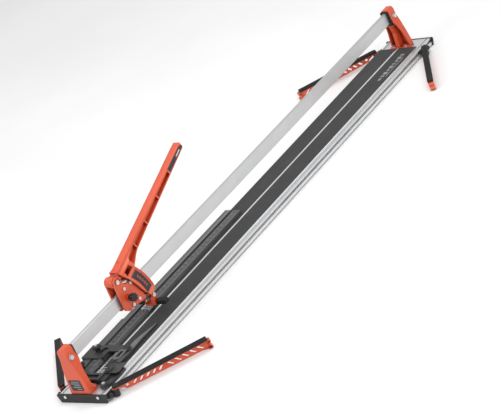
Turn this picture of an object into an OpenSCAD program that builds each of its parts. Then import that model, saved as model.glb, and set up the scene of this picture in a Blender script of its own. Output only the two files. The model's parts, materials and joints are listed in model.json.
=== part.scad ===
// Long rail tile cutter: an extruded aluminium base with two sprung tables, a single guide
// beam between two cast brackets, a rolling carriage with a cutting and breaking lever,
// a measuring fence with stops, and four swing-out side supports.
// X runs along the cut, +Y is the fence side, Z=0 is the floor.

/* [Overall] */
// Length over the end caps
overall_l = 1947; // [1900:1:2000]
// Width of the base extrusion
base_w = 173; // [172:1:176]
// Height of the deck of the base above the floor
deck_z = 27.5; // [27.5:0.5:28]
// Height of the top of the rubber mats above the floor
mat_z = 37; // [36.5:0.5:37.5]

/* [Tables] */
// X of the near end of the sprung tables
table_x0 = -852; // [-856:1:-846]
// X of the far end of the sprung tables
table_x1 = 900; // [890:1:900]
// Outer half width of a table
table_y = 76; // [75.5:0.5:76]
// Thickness of the rubber mats
mat_t = 2.5; // [2:0.5:3]
// Number of springs under each table
spring_count = 4; // [3:1:6]

/* [Guide beam] */
// Height of the underside of the beam above the floor
beam_z0 = 128.5; // [128:0.5:129]
// Height of the beam's section
beam_h = 39.5; // [39:0.5:40]
// Thickness of the beam's section
beam_t = 13; // [12:0.5:13]
// Wall of the beam
beam_wall = 2.5; // [2:0.5:3]

/* [Carriage] */
// X of the lever pivot
piv_x = -683; // [-690:1:-670]
// Height of the lever pivot above the floor
piv_z = 206.5; // [206:0.5:207]
// Outer half width over the side plates
car_y = 16.5; // [16.5:0.5:17]
// Thickness of a side plate
car_t = 3.5; // [3:0.5:3.5]

/* [Lever] */
// Angle of the handle above horizontal at rest
lever_a = 20; // [19:0.5:21]
// Half width of the handle
handle_y = 15.5; // [15:0.5:16]
// Half width of the head
head_y = 26; // [25.5:0.5:27]
// Radius of the cutting wheel
wheel_r = 9; // [8:0.5:9]

/* [Fence] */
// X of the near end of the fence
fence_x0 = -892; // [-892:1:-890]
// X of the far end of the fence
fence_x1 = -74; // [-200:1:-60]
// Height of the top of the fence above the mats
fence_h = 11; // [10.5:0.5:11]

/* [Side supports] */
// Swing of the near front support from the beam's direction
arm_nf = 39; // [20:1:60]
// Swing of the near rear support
arm_nr = 41; // [20:1:60]
// Swing of the far front support
arm_ff = 34; // [20:1:60]
// Swing of the far rear support
arm_fr = 37; // [20:1:60]
// Length of the rubber pad on a support
pad_l = 288; // [250:1:292]

/* [Hidden] */
$fn = 48;

hl = overall_l / 2;
cap_t = 5;
ext_l = overall_l - 2 * cap_t;
hw = base_w / 2;
beam_z1 = beam_z0 + beam_h;
beam_zc = beam_z0 + beam_h / 2;
br_near = -hl + 5.1;           // outer face of the near bracket
br_far = 938.5;                // outer face of the far bracket
clamp_x = 13;                  // clamp bolt from the outer face
clamp_z = 146;
table_t = 3;
table_top = mat_z - mat_t;
gap = 0.25;
up_r = 7;                      // tread radius, upper rollers
lo_r = 13;                     // tread radius, lower rollers
up_x = [13, 44.8];
lo_x = [21, 51];
up_z = beam_z1 + up_r + gap - piv_z;
lo_z = beam_z0 - lo_r - gap - piv_z;
knob_at = [15, -62];
foot_at = [58.6, -145.2];          // breaker bolt, in the lever's frame
wheel_at = [43.4, -149.8];         // wheel axle, in the lever's frame
fence_z0 = mat_z + 0.6;
fence_z1 = mat_z + fence_h;
fk_at = [-880, 54];            // fence pivot and knob
sk_at = [-800, 52];            // stop knob
arm_pivot_n = -937;
arm_pivot_f = 902;
arm_py = 102;
cos_l = cos(lever_a);
sin_l = sin(lever_a);
foot_x = piv_x + foot_at[0] * cos_l - foot_at[1] * sin_l;
foot_z = piv_z + foot_at[0] * sin_l + foot_at[1] * cos_l;
orange = "#e8623c";
black = "#2b2b2d";
silver = "#c9cbcc";
grey = "#5c5d60";
steel = "#b8bcc2";

// ---------- helpers ----------
module along_x(x0, x1) { translate([x0, 0, 0]) rotate([90, 0, 90]) linear_extrude(x1 - x0) children(); }
module across_y(y0, y1) { translate([0, y1, 0]) rotate([90, 0, 0]) linear_extrude(y1 - y0) children(); }
module cyl_y(x, z, y0, y1, r) { translate([x, y1, z]) rotate([90, 0, 0]) cylinder(h = y1 - y0, r = r); }
module cyl_x(y, z, x0, x1, r) { translate([x0, y, z]) rotate([0, 90, 0]) cylinder(h = x1 - x0, r = r); }
module cyl_z(x, y, z0, z1, r) { translate([x, y, z0]) cylinder(h = z1 - z0, r = r); }
module hex_y(x, z, y0, y1, af) { translate([x, y1, z]) rotate([90, 0, 0]) cylinder(h = y1 - y0, r = af / sqrt(3), $fn = 6); }
module rrect(x0, y0, x1, y1, r) {
    translate([x0 + r, y0]) square([x1 - x0 - 2 * r, y1 - y0]);
    translate([x0, y0 + r]) square([x1 - x0, y1 - y0 - 2 * r]);
    for (x = [x0 + r, x1 - r], y = [y0 + r, y1 - r]) translate([x, y]) circle(r = r);
}
module slot2d(x0, y0, x1, y1, r) {
    a = atan2(y1 - y0, x1 - x0);
    l = sqrt(pow(x1 - x0, 2) + pow(y1 - y0, 2));
    translate([x0, y0]) rotate(a) { translate([0, -r]) square([l, 2 * r]); circle(r = r); translate([l, 0]) circle(r = r); }
}
module in_lever() { translate([piv_x, 0, piv_z]) rotate([0, -lever_a, 0]) children(); }
module in_car() { translate([piv_x, 0, piv_z]) children(); }
module in_foot() { translate([foot_x, 0, foot_z]) children(); }

// ---------- base ----------
spring_x = [for (i = [0:spring_count - 1]) table_x0 + 60 + i * (table_x1 - table_x0 - 120) / (spring_count - 1)];
spring_y = 41;

module base_section() {
    difference() {
        polygon([[-hw + 1.5, 4], [hw - 1.5, 4], [hw, 5.5], [hw, deck_z - 2], [hw - 2, deck_z], [-hw + 2, deck_z], [-hw, deck_z - 2], [-hw, 5.5]]);
        for (s = [-1, 1]) scale([s, 1]) {
            // hollow chambers
            rrect(7, 7, 26, 24.3, 1.5);
            rrect(29, 7, 53, 24.3, 1.5);
            difference() {
                rrect(56, 7, 70, 24.3, 1.5);
                translate([63, 20.5]) circle(r = 4.6);
                translate([58.4, 20.5]) square([9.2, 6]);
            }
            translate([63, 20.5]) circle(r = 2.4);
            rrect(72.5, 6.6, 76.5, 11, 1);
            // side groove with undercut for the support blocks
            translate([hw - 5, 14.2]) square([10, 8.6]);
            translate([hw - 8.5, 12.4]) square([4, 12.2]);
            // slot for the table's side wall
            translate([72.6, 19.6]) square([4, 10]);
        }
        // seat for the breaking bar
        translate([-2.55, 19]) square([5.1, 10]);
        // small decorative flutes in the underside
        for (y = [-50, -30, -10, 10, 30, 50]) translate([y - 2, 3]) square([4, 2]);
    }
}
module base_extrusion() {
    color(silver) difference() {
        along_x(-ext_l / 2, ext_l / 2) base_section();
        for (s = [-1, 1], x = spring_x) cyl_z(x, s * spring_y, 20, 30, 7.2);
        for (x = [br_near + 26, br_far - 26], y = [-24, 24]) cyl_z(x, y, 20, 30, 3.2);
        for (y = [-64, 45]) cyl_z(-934, y, 20, 30, 2.6);
    }
}
module breaking_bar() {
    color("#e4e6e8") along_x(table_x0 - 33, table_x1 + 0.3)
        polygon([[-2.5, 19.2], [2.5, 19.2], [2.5, 36], [1.3, mat_z + 1.7], [-1.3, mat_z + 1.7], [-2.5, 36]]);
}
module cap_shape() {
    difference() {
        polygon([[-88, 1.3], [-86, 0.6], [86, 0.6], [88, 1.3], [95, 22.5], [95, 25.8], [92.5, deck_z + 0.9], [-92.5, deck_z + 0.9], [-95, 25.8], [-95, 22.5]]);
        for (s = [-1, 1]) translate([s * 63, 20.5]) circle(r = 2.7);
    }
}
module end_cap(s) {
    color(black) {
        along_x(s < 0 ? -hl : hl - cap_t, s < 0 ? -hl + cap_t : hl) cap_shape();
    }
}
module near_end_cap() { end_cap(-1); }
module far_end_cap() { end_cap(1); }
module end_cap_screws() {
    color(steel) for (s = [-1, 1], y = [-63, 63]) {
        cyl_x(y, 20.5, s < 0 ? -hl - 0.01 : hl - 24, s < 0 ? -hl + 24 : hl + 0.01, 2.3);
        difference() {
            cyl_x(y, 20.5, s < 0 ? -hl - 2.6 : hl + 0.01, s < 0 ? -hl - 0.01 : hl + 2.6, 4.6);
            translate([s < 0 ? -hl - 2.6 : hl + 2.6, y, 20.5]) rotate([0, 90, 0]) cylinder(h = 2.4, r = 2.4, center = true, $fn = 6);
        }
    }
}
module rubber_feet() {
    color(black) for (x = [-900, 0, 900]) translate([x, 0, 0]) difference() {
        linear_extrude(4) rrect(-12, -70, 12, 70, 8);
        for (y = [-60:12:60]) translate([-14, y - 1, -1]) cube([5, 2, 2.2]);
        for (y = [-60:12:60]) translate([9, y - 1, -1]) cube([5, 2, 2.2]);
    }
}

// ---------- brackets ----------
// local frame: x from the outer face inwards, z from the deck
function side_pts(w, t) = [[-w, t], [w, t], [w - 1, 16], [w - 6, 50], [w - 14, 90], [15.5 - t * 0.4, 122], [15 - t * 0.4, 140], [10, 149 - t * 0.5], [-10, 149 - t * 0.5], [-15 + t * 0.4, 140], [-15.5 + t * 0.4, 122], [-w + 14, 90], [-w + 6, 50], [-w + 1, 16]];
module bracket_body(feet_x) {
    bolt_z = clamp_z - deck_z;
    s0 = beam_z0 - 0.3 - deck_z;
    difference() {
        union() {
            // outer tapered wall
            along_x(0, 5) polygon(side_pts(38, 0));
            // rims along both tapered sides, cut back towards the foot
            intersection() {
                along_x(0, 34) difference() { polygon(side_pts(38, 0)); polygon(side_pts(33.5, 5)); }
                across_y(-50, 50) polygon([[0, 0], [20, 0], [20, 20], [22, 60], [28, 88], [34, 100], [34, 150], [0, 150]]);
            }
            // clamp column round the beam end
            along_x(0, 34) polygon([[-14.5, 88], [14.5, 88], [15.5, 122], [15, 140], [10, 149], [-10, 149], [-15, 140], [-15.5, 122]]);
            // central web
            across_y(-7, 7) polygon([[2, 4], [37, 4], [33, 30], [29, 60], [34, 90], [2, 90]]);
            // foot with rounded inner corners
            linear_extrude(9) {
                translate([0, -38]) square([26, 76]);
                translate([0, -26]) square([38, 52]);
                for (s = [-1, 1]) translate([26, s * 26]) circle(r = 12);
            }
        }
        // beam socket
        translate([5, -beam_t / 2 - 0.1, s0]) cube([40, beam_t + 0.2, beam_h + 0.6]);
        // clamp bolt and hex pocket for its nut
        cyl_y(clamp_x, bolt_z, -40, 40, 4.3);
        for (s = [-1, 1]) cyl_y(clamp_x, bolt_z, s > 0 ? 15.5 : -30, s > 0 ? 30 : -15.5, 8.8);
        // foot screws
        for (y = [-24, 24]) cyl_z(feet_x, y, -1, 10, 3.3);
    }
}
module near_bracket() { color(orange) translate([br_near, 0, deck_z]) bracket_body(26); }
module far_bracket() { color(orange) translate([br_far, 0, deck_z]) mirror([1, 0, 0]) bracket_body(26); }
module hex_bolt_z(x, y, z, l, r, af, hh) {
    cyl_z(x, y, z - l, z + 0.01, r);
    cyl_z(x, y, z, z + 1.2, af * 0.62);
    translate([x, y, z + 1.19]) cylinder(h = hh, r = af / sqrt(3), $fn = 6);
}
module bracket_screws() {
    color(steel) for (x = [br_near + 26, br_far - 26], y = [-24, 24]) hex_bolt_z(x, y, deck_z + 9, 14, 3, 10, 5);
}
module beam_clamp_bolts() {
    color(steel) for (x = [br_near + clamp_x, br_far - clamp_x]) {
        cyl_y(x, clamp_z, -15.6, 20, 4.1);
        cyl_y(x, clamp_z, -17, -15.6, 8);
        difference() {
            hex_y(x, clamp_z, -22, -17, 13);
            cyl_y(x, clamp_z, -22.1, -21.2, 4.2);
        }
        cyl_y(x, clamp_z, 15.6, 17, 8);
        hex_y(x, clamp_z, 17, 23, 13);
    }
}
module gasket(x0, x1) {
    color(black) along_x(x0, x1) difference() {
        rrect(-16.5, beam_z0 - 8, 16.5, beam_z1 + 6, 5);
        translate([-beam_t / 2 - 0.1, beam_z0 - 0.1]) square([beam_t + 0.2, beam_h + 0.2]);
    }
}
module near_gasket() { gasket(br_near + 34, br_near + 38); }
module far_gasket() { gasket(br_far - 38, br_far - 34); }
module guide_beam() {
    color("#bdbfc1") difference() {
        along_x(br_near + 5.2, br_far - 5.2) difference() {
            translate([-beam_t / 2, beam_z0]) rrect(0, 0, beam_t, beam_h, 1.6);
            translate([-beam_t / 2, beam_z0]) {
                rrect(beam_wall, beam_wall, beam_t - beam_wall, 12.5, 1);
                rrect(beam_wall, 14.5, beam_t - beam_wall, beam_h - 14.5, 1);
                rrect(beam_wall, beam_h - 12.5, beam_t - beam_wall, beam_h - beam_wall, 1);
            }
        }
        for (x = [br_near + clamp_x, br_far - clamp_x]) cyl_y(x, clamp_z, -20, 20, 4.3);
    }
}

// ---------- sprung tables ----------
module table(s) {
    color(silver) difference() {
        along_x(table_x0, table_x1) scale([s, 1])
            polygon([[3.4, table_top - table_t], [3.4, table_top], [table_y - 1, table_top], [table_y - 1, mat_z - 0.5], [table_y, mat_z - 0.5],
                [table_y, deck_z - 3.4], [table_y - 2.6, deck_z - 3.4], [table_y - 2.6, table_top - table_t]]);
        for (x = spring_x) cyl_z(x, s * spring_y, table_top - table_t - 1, table_top - table_t + 1.2, 6.6);
    }
}
module front_table() { table(-1); }
module rear_table() { table(1); }
module mat(s) {
    color("#3f3f41") along_x(table_x0, table_x1) scale([s, 1])
        polygon([[3.4, table_top], [table_y - 1.05, table_top], [table_y - 1.05, mat_z - 0.4], [table_y - 1.5, mat_z], [3.8, mat_z], [3.4, mat_z - 0.4]]);
}
module front_mat() { mat(-1); }
module rear_mat() { mat(1); }
// round-wire compression spring swept along a helix
module coil(r, wire, z0, z1, turns) {
    n = 10;
    rings = turns * n;
    k = 5;
    pts = [for (i = [0:rings], j = [0:k - 1]) let (a = i * 360 / n, b = j * 360 / k, q = r + wire * cos(b)) [q * cos(a), q * sin(a), z0 + wire + (z1 - z0 - 2 * wire) * i / rings + wire * sin(b)]];
    sides = [for (i = [0:rings - 1], j = [0:k - 1], h = [0, 1]) let (p = i * k + j, q = i * k + (j + 1) % k) h == 0 ? [p, q, q + k] : [p, q + k, p + k]];
    ends = [for (j = [1:k - 2], h = [0, 1]) h == 0 ? [0, j + 1, j] : [rings * k, rings * k + j, rings * k + j + 1]];
    polyhedron(pts, concat(sides, ends));
}
module springs(s) {
    color(steel) for (x = spring_x) translate([x, s * spring_y, 0]) coil(5.2, 0.8, 7, table_top - table_t + 1.2, 4);
}
module front_springs() { springs(-1); }
module rear_springs() { springs(1); }

// ---------- carriage ----------
module plate_shape() {
    difference() {
        union() {
            circle(r = 16);
            polygon([[-15.8, 2], [-17, -35], [-19.5, -76], [-16, -88], [-4, -97], [5, -98], [36, -101], [48, -103], [60, -106], [70, -105], [76, -98], [74, -85], [67, -67], [60, -50], [55, -38], [49, -31], [38, -26], [27, -24], [21, -17], [17, -7], [15.8, 2]]);
        }
        circle(r = 4.05);
        for (x = up_x) translate([x, up_z]) circle(r = 3.05);
        for (x = lo_x) translate([x, lo_z]) circle(r = 3.05);
        translate(knob_at) circle(r = 4.1);
    }
}
module rim_shape() {
    difference() {
        union() {
            circle(r = 16);
            polygon([[-15.9, 0], [-17, -35], [-19.5, -76], [-16, -88], [-4, -97], [5, -98], [5, -93.5], [-2, -93], [-12, -86], [-15.2, -76], [-12.8, -35], [-12, -3]]);
        }
        circle(r = 12.4);
        translate([-11.6, -40]) square([40, 36]);
    }
}
module carriage_front_plate() {
    color(orange) in_car() {
        difference() {
            across_y(-car_y, -car_y + car_t) plate_shape();
        }
        across_y(-car_y - 2.2, -car_y + 0.01) rim_shape();
        // boss under the locking knob
        difference() {
            cyl_y(knob_at[0], knob_at[1], -car_y - 6, -car_y + 0.01, 9);
            cyl_y(knob_at[0], knob_at[1], -car_y - 7, -car_y + 1, 4.1);
        }
    }
}
module carriage_rear_plate() {
    color(orange) in_car() {
        across_y(car_y - car_t, car_y) plate_shape();
        across_y(car_y - 0.01, car_y + 2.2) rim_shape();
    }
}
module carriage_axles() {
    color(steel) in_car() for (p = [[up_x[0], up_z], [up_x[1], up_z], [lo_x[0], lo_z], [lo_x[1], lo_z]]) {
        cyl_y(p[0], p[1], -car_y - 0.01, car_y + 4.5, 3);
        difference() {
            cyl_y(p[0], p[1], -car_y - 3.2, -car_y, 5);
            translate([p[0], -car_y - 3.2, p[1]]) rotate([90, 0, 0]) cylinder(h = 3, r = 2.6, center = true, $fn = 6);
        }
    }
}
module carriage_nuts() {
    color(steel) in_car() for (p = [[up_x[0], up_z], [up_x[1], up_z], [lo_x[0], lo_z], [lo_x[1], lo_z]]) difference() {
        hex_y(p[0], p[1], car_y, car_y + 4.4, 9);
        cyl_y(p[0], p[1], car_y - 1, car_y + 5, 3.0);
    }
}
module roller(x, z, r, fl, half) {
    color(steel) translate([piv_x + x, 0, piv_z + z]) rotate([90, 0, 0]) rotate_extrude()
        polygon([[3.06, -half], [fl * 0.62, -half], [fl * 0.7, -9], [fl - 0.6, -9], [fl, -8.4], [fl, -7.3], [r, -6.75], [r, 6.75], [fl, 7.3], [fl, 8.4], [fl - 0.6, 9], [fl * 0.7, 9], [fl * 0.62, half], [3.06, half]]);
}
module upper_near_roller() { roller(up_x[0], up_z, up_r, up_r + 2.6, 12.4); }
module upper_far_roller() { roller(up_x[1], up_z, up_r, up_r + 2.6, 12.4); }
module lower_near_roller() { roller(lo_x[0], lo_z, lo_r, lo_r + 1.6, 12.4); }
module lower_far_roller() { roller(lo_x[1], lo_z, lo_r, lo_r + 1.6, 12.4); }
module lock_knob() {
    color(black) in_car() {
        across_y(-43, -29) union() {
            translate(knob_at) circle(r = 9.6);
            for (i = [0:6]) translate(knob_at + 9.0 * [cos(i * 360 / 7), sin(i * 360 / 7)]) circle(r = 3.4);
        }
        cyl_y(knob_at[0], knob_at[1], -29.01, -22.8, 8);
        cyl_y(knob_at[0], knob_at[1], -22.81, -7.4, 4);
    }
}
module pivot_bolt() {
    color(steel) in_car() {
        cyl_y(0, 0, -car_y - 0.01, car_y + 5, 4);
        difference() {
            cyl_y(0, 0, -car_y - 4.6, -car_y, 6.4);
            translate([0, -car_y - 4.6, 0]) rotate([90, 0, 0]) cylinder(h = 4.4, r = 3.4, center = true, $fn = 6);
        }
        difference() {
            hex_y(0, 0, car_y, car_y + 6.5, 13);
            cyl_y(0, 0, car_y - 1, car_y + 7, 3.99);
        }
    }
}

// ---------- lever ----------
// lever frame: x along the handle, z up, origin on the pivot
function arc_pts(c, r, a0, a1, n) = [for (i = [0:n]) let (a = a0 + (a1 - a0) * i / n) [c[0] + r * cos(a), c[1] + r * sin(a)]];
head_c = [-129.6, -84];         // centre of the head's curved back
head_r = 212.6;
module handle_side() {
    polygon([[60, 18], [488, 18], [493, 8], [497, 5.4], [499, 1.5], [499.5, -3], [498.5, -8.4], [494, -12], [394, -13], [215, -16.5], [120, -19.5], [72, -28], [60, -30]]);
}
// crown of the handle and head, spreading to the full width below; t is its top
module crown(t) {
    polygon(concat([[-head_y, -150], [head_y, -150]],
        [for (p = [[head_y, -24], [20.5, -16], [15.6, -11.5], [14.9, -7.6], [13.2, -4.3], [10.4, -1.9], [6.5, -0.5], [0, 0]]) [p[0], t + p[1]]],
        [for (p = [[-6.5, -0.5], [-10.4, -1.9], [-13.2, -4.3], [-14.9, -7.6], [-15.6, -11.5], [-20.5, -16], [-head_y, -24]]) [p[0], t + p[1]]]));
}
module head_side() {
    polygon(concat([[25, -6], [24.5, 9], [27, 15], [62, 14.2], [72.5, 2], [73, -19.5]], arc_pts(head_c, head_r, 16, -11, 12), [[74, -131], [61.6, -135], [48, -130], [46, -118], [40, -93], [39, -74], [34, -38]]));
}
module lever() {
    color(orange) in_lever() difference() {
        union() {
            // handle and shoulders: side outline, plan outline, and a crown that falls towards the tip
            intersection() {
                across_y(-head_y, head_y) handle_side();
                translate([0, 0, -60]) linear_extrude(90) polygon([[50, -head_y], [76, -head_y], [92, -22.5], [110, -18.6], [132, -handle_y], [488, -handle_y], [494.5, -13.6], [498.3, -10], [499.5, -5], [499.5, 5], [498.3, 10], [494.5, 13.6], [488, handle_y], [132, handle_y], [110, 18.6], [92, 22.5], [76, head_y], [50, head_y]]);
                rotate([0, 0.9, 0]) along_x(50, 502) crown(16.4);
            }
            // curved head
            intersection() {
                across_y(-head_y, head_y) head_side();
                rotate([0, 0.9, 0]) along_x(0, 100) crown(16.4);
            }
            // raised bead along the back edge of each cheek
            for (s = [-1, 1]) translate([0, s > 0 ? head_y - 0.01 : -head_y - 1.2, 0]) across_y(0, 1.21)
                polygon(concat(arc_pts(head_c, head_r - 0.4, 14, -10, 12), arc_pts(head_c, head_r - 4, -10, 14, 12)));
            // neck and hub between the side plates
            across_y(-12.6, 12.6) polygon([[0, 17], [10, 14.2], [17.2, 8.5], [20.5, 10.5], [21.5, 16.5], [27, 15], [40, 12], [40, -12], [24, -12], [14, -9], [0, -17]]);
            cyl_y(0, 0, -12.6, 12.6, 17);
            // lug that carries the wheel and the breaker
            across_y(-12, 12) polygon([[46, -122], [74, -122], [70, -138], [66.2, -147.5], [62, -152.4], [57, -153.2], [52, -150], [49, -141], [47, -132]]);
        }
        // hollow of the head, open towards the carriage
        across_y(-22, 22) polygon(concat([[-20, -14], [29, -14], [33, -3.6], [66, -3.6], [68.4, -22]], arc_pts(head_c, head_r - 5, 15, -8.6, 12), [[75, -131.3], [50, -118], [49.5, -124], [-20, -124]]));
        // slot that clears the guide beam as the lever swings
        across_y(-8.5, 8.5) polygon([[58, -53.8], [100, -66], [100, -144.6], [75, -131.3], [58, -122.3]]);
        // relief above the side plates so only the neck reaches the hub
        for (s = [-1, 1]) translate([-30, s > 0 ? 12.7 : -42.7, -20]) cube([54, 30, 60]);
        // windows at the root of the handle
        for (s = [-1, 1]) translate([0, s > 0 ? 21.9 : -head_y - 2, 0]) across_y(0, head_y - 19.9) polygon([[34, -21.5], [36, -4.6], [65, -4.6], [66.4, -6], [68.4, -22]]);
        // side pockets of the handle
        for (s = [-1, 1]) {
            for (p = [[135.5, 213], [217, 303], [307, 392]]) translate([0, s > 0 ? handle_y - 10 : -handle_y - 0.2, 0]) across_y(0, 10.2)
                polygon([[p[0], -18.6 + p[0] * 0.0212], [p[0], 4.4 - p[0] * 0.005], [p[1], 4.4 - p[1] * 0.005], [p[1], -18.6 + p[1] * 0.0212]]);
            translate([0, s > 0 ? handle_y - 10 : -head_y, 0]) across_y(0, head_y - handle_y + 10)
                polygon([[80, -21.6], [78, -3], [86, 1.6], [132, 3.6], [132, -15.9]]);
            translate([0, s > 0 ? handle_y - 2.5 : -handle_y - 0.01, 0]) across_y(0, 2.51)
                polygon([[397, -10], [397, 4.4], [481, 3.2], [490, 0.8], [493.5, -3], [492.5, -9.2]]);
        }
        // slot for the wheel holder and bores
        across_y(-4.6, 4.6) polygon([[30, -126], [53.6, -126], [53.6, -160], [30, -160]]);
        cyl_y(0, 0, -20, 20, 4.06);
        cyl_y(foot_at[0], foot_at[1], -40, 40, 4.06);
        // shallow seats of the side panels
        for (s = [-1, 1]) translate([0, s > 0 ? head_y - 0.8 : -head_y - 0.01, 0]) across_y(0, 0.81) panel_shape(0.15);
    }
}
module panel_shape(e) {
    polygon(concat(arc_pts(head_c, 204.5 + e, 14.3, -9.2, 12), arc_pts(head_c, 178 - e, -10.4, 16.6, 12)));
}
module head_panels() {
    color(black) in_lever() {
        across_y(-head_y - 0.3, -head_y + 0.75) panel_shape(0);
        across_y(head_y - 0.75, head_y + 0.3) panel_shape(0);
    }
}
module handle_inserts() {
    color(black) in_lever() for (s = [-1, 1]) translate([0, s > 0 ? handle_y - 2.4 : -handle_y - 0.3, 0]) across_y(0, 2.7)
        polygon([[397.2, -9.8], [397.2, 4.2], [481, 3.0], [489.8, 0.6], [493.2, -3], [492.2, -9]]);
}
module wheel_holder() {
    color(steel) in_lever() difference() {
        across_y(-4.5, 4.5) polygon([[39, -127], [51.8, -127], [52.3, -138.5], [49.4, -144], [49.4, -152], [46, -155], [41.5, -154], [39, -150]]);
        across_y(-1.9, 1.9) polygon([[30, -138.5], [60, -138.5], [60, -170], [30, -170]]);
        cyl_y(wheel_at[0], wheel_at[1], -10, 10, 2.52);
    }
}
module cutting_wheel() {
    color("#d9b44a") in_lever() translate([wheel_at[0], 0, wheel_at[1]]) rotate([90, 0, 0]) rotate_extrude($fn = 72)
        polygon([[2.56, -1.6], [6, -1.6], [wheel_r - 1.2, -1.1], [wheel_r, 0], [wheel_r - 1.2, 1.1], [6, 1.6], [2.56, 1.6]]);
}
module wheel_axle() {
    color(steel) in_lever() {
        cyl_y(wheel_at[0], wheel_at[1], -5.2, 5.2, 2.5);
        cyl_y(wheel_at[0], wheel_at[1], -6.2, -5.2, 3.6);
        cyl_y(wheel_at[0], wheel_at[1], 5.2, 6.2, 3.6);
    }
}

// ---------- breaker, hanging from the lug ----------
module foot_cheek() {
    difference() {
        union() {
            circle(r = 9);
            polygon([[-9, 0], [-14, -2], [-17, -7], [-10, -17], [-13, -25.5], [-13, -29.5], [14, -29.5], [14, -25.5], [11, -20], [9.6, -6], [8.9, 0.5], [4, 8], [-6, 6.7]]);
        }
        circle(r = 4.06);
        translate([0.6, -15.8]) circle(r = 1.7);
    }
}
module breaker_bracket() {
    color(orange) in_foot() {
        across_y(-18, -14.5) foot_cheek();
        across_y(14.5, 18) foot_cheek();
        translate([-13, -18, -29.5]) cube([27, 36, 4]);
    }
}
module breaker_bar() {
    color(black) in_foot() {
        union() {
            translate([14, 0, 0]) rotate([90, 0, -90]) linear_extrude(18)
                polygon([[-50, -32], [-20, -31.6], [20, -31.6], [50, -32], [53.2, -30.8], [54.2, -28], [54.2, -22.4], [53, -19.6], [49.5, -18.6], [24, -18.6], [18.3, -18.6], [18.3, -29.6], [-18.3, -29.6], [-18.3, -18.6], [-24, -18.6], [-49.5, -18.6], [-53, -19.6], [-54.2, -22.4], [-54.2, -28], [-53.2, -30.8]]);
            translate([-12, -18, -31.6]) cube([26, 36, 2]);
        }
    }
}
module breaker_strip() {
    color(steel) in_foot() translate([-9, -16, -33]) cube([18, 32, 1.4]);
}
module breaker_bolt() {
    color(steel) in_foot() {
        cyl_y(0, 0, -18.31, 23, 4);
        difference() {
            cyl_y(0, 0, -21.6, -18.3, 6.2);
            translate([0, -21.6, 0]) rotate([90, 0, 0]) cylinder(h = 3.4, r = 3, center = true, $fn = 6);
        }
        difference() {
            hex_y(0, 0, 18.3, 23.5, 11);
            cyl_y(0, 0, 17, 24, 3.99);
        }
    }
}

// ---------- fence and stops ----------
module crossbar() {
    color(black) difference() {
        union() {
            // bridge over the deck
            translate([-924, -40, deck_z]) cube([30.5, 80, 46 - deck_z]);
            translate([-924, 36, deck_z]) cube([70, 40, 37.2 - deck_z]);
            translate([-924, -36, deck_z]) cube([70, 18, 37.2 - deck_z]);
            // rear foot
            translate([-934, 36.5, deck_z]) cube([14, 17, 9]);
            cyl_z(-934, 45, deck_z, deck_z + 9, 8.5);
            // front foot and its curved skirt
            cyl_z(-934, -64, deck_z, deck_z + 12, 12);
            linear_extrude_at(deck_z, 9) polygon([[-946, -62], [-946, -72], [-938, -80], [-920, -85], [-880, -86], [-854, -84], [-854, -36], [-924, -36], [-924, -52]]);
            translate([-924, -60, deck_z]) cube([36, 30, 15]);
        }
        // lightening window in the bridge, screw bores, pivot bores
        translate([-916, -28, 40]) cube([14, 56, 10]);
        for (y = [-64, 45]) cyl_z(-934, y, 20, 50, 2.7);
        cyl_z(fk_at[0], fk_at[1], 30, 50, 4.06);
        cyl_z(-879, -48, 30, 50, 4.06);
    }
}
module linear_extrude_at(z, h) { translate([0, 0, z]) linear_extrude(h) children(); }
module crossbar_screws() {
    color(steel) for (p = [[-64, 12], [45, 9]]) {
        cyl_z(-934, p[0], 21, deck_z + p[1] + 0.01, 2.5);
        difference() {
            cyl_z(-934, p[0], deck_z + p[1], deck_z + p[1] + 3, 5.4);
            translate([-934, p[0], deck_z + p[1] + 3]) cylinder(h = 3, r = 2.6, center = true, $fn = 6);
        }
    }
}
module fence_section() {
    difference() {
        polygon([[17, fence_z0], [17, fence_z1 - 1], [19, fence_z1 - 1], [46.5, fence_z1 - 1], [46.5, fence_z1 - 4.5], [56.5, fence_z1 - 4.5], [56.5, fence_z1], [78.5, fence_z1], [80, fence_z1 - 1.5], [80, fence_z0]]);
        // undercut groove between the rails
        translate([44, fence_z1 - 7.5]) square([15, 3.2]);
        rrect(62, fence_z0 + 2, 77, fence_z1 - 2, 1);
    }
}
module fence_bar() {
    color(grey) difference() {
        union() {
            along_x(fence_x0, fence_x1) fence_section();
            // rear rail the stop carrier grips
            translate([fence_x0, 79, fence_z0]) cube([257, 9, 8.4]);
        }
        cyl_z(fk_at[0], fk_at[1], 30, 60, 4.06);
        // mitred rear corner at the near end
        translate([fence_x0 - 1, 80, 30]) cube([8, 10, 30]);
    }
}
module fence_scale() {
    color("#4c4d50") difference() {
        along_x(fence_x0 + 2, fence_x1 - 2) polygon([[17.6, fence_z1 - 1], [46, fence_z1 - 1], [46, fence_z1], [18.6, fence_z1], [17.6, fence_z1 - 0.6]]);
        cyl_z(fk_at[0], fk_at[1], 30, 60, 14);
    }
}
module dome_knob(x, y, z0, zc, z1, r) {
    translate([x, y, 0]) rotate_extrude() polygon([[0, z0], [4, z0], [4, zc], [7.5, zc], [7.5, z1 - 12], [r - 1.5, z1 - 9], [r, z1 - 7.5], [r, z1 - 4], [r - 1.5, z1 - 2.2], [r - 5, z1 - 0.6], [r - 9, z1], [0, z1]]);
}
module fence_knob() { color(black) dome_knob(fk_at[0], fk_at[1], 31, fence_z1 + 0.3, 69, 12.5); }
module scale_slider() {
    color("#d5d7d9") difference() {
        translate([-592, 14.6, fence_z0 + 3]) cube([22, 29.4, fence_z1 + 1.2 - fence_z0 - 3]);
        translate([-593, 16.8, fence_z0 - 1]) cube([24, 40, fence_z1 + 0.2 - fence_z0 + 1]);
        translate([-582.5, 20, fence_z1 - 1]) cube([3, 20, 4]);
    }
}
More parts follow.
